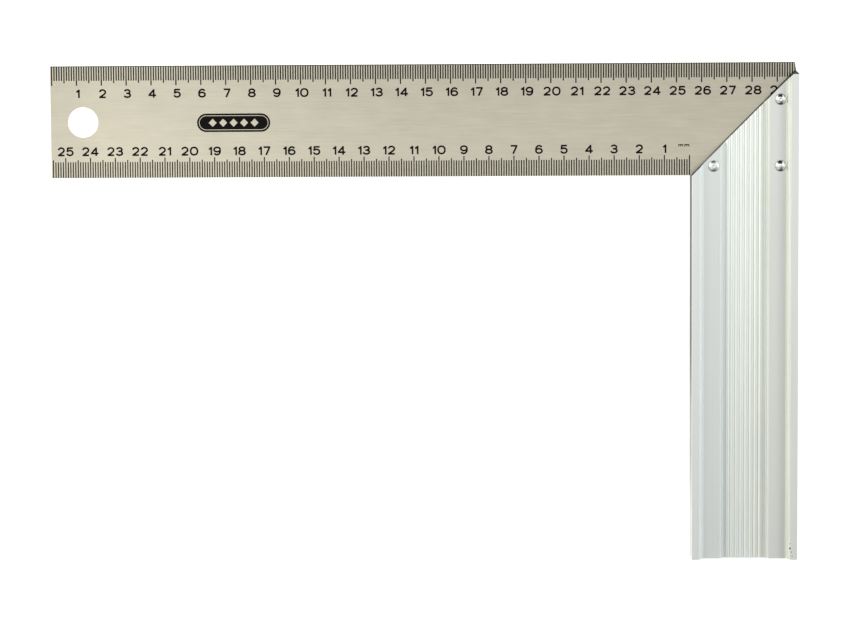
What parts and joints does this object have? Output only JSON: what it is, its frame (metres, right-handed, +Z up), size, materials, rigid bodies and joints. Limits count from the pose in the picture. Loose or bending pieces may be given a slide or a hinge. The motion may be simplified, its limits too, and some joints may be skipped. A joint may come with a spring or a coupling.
{
  "type": "try square",
  "caption": "Carpenter's try square: a graduated steel rule held at a right angle in a slotted, mitred and ribbed aluminium stock, with a hole to hang it by.",
  "frame": {"origin": "centre of the square's outline, on the surface that the stock's rear flanges lie on", "axes": "+X along the blade from its free end to the stock, +Y across the blade away from the foot of the stock, +Z up out of the front face"},
  "size_m": [0.2988, 0.1988, 0.016],
  "materials": {
    "stainless_steel": "satin stainless steel, brushed along the blade, with black etched scales",
    "satin_aluminium": "extruded aluminium, matt silver with fine die lines along its length",
    "rivet_aluminium": "bright aluminium, peened to low domes"
  },
  "bodies": {
    "root": {"blade": "stainless_steel", "stock": "satin_aluminium", "rivet_inner": "rivet_aluminium", "rivet_outer_lower": "rivet_aluminium", "rivet_outer_upper": "rivet_aluminium"}
  },
  "joints": []
}
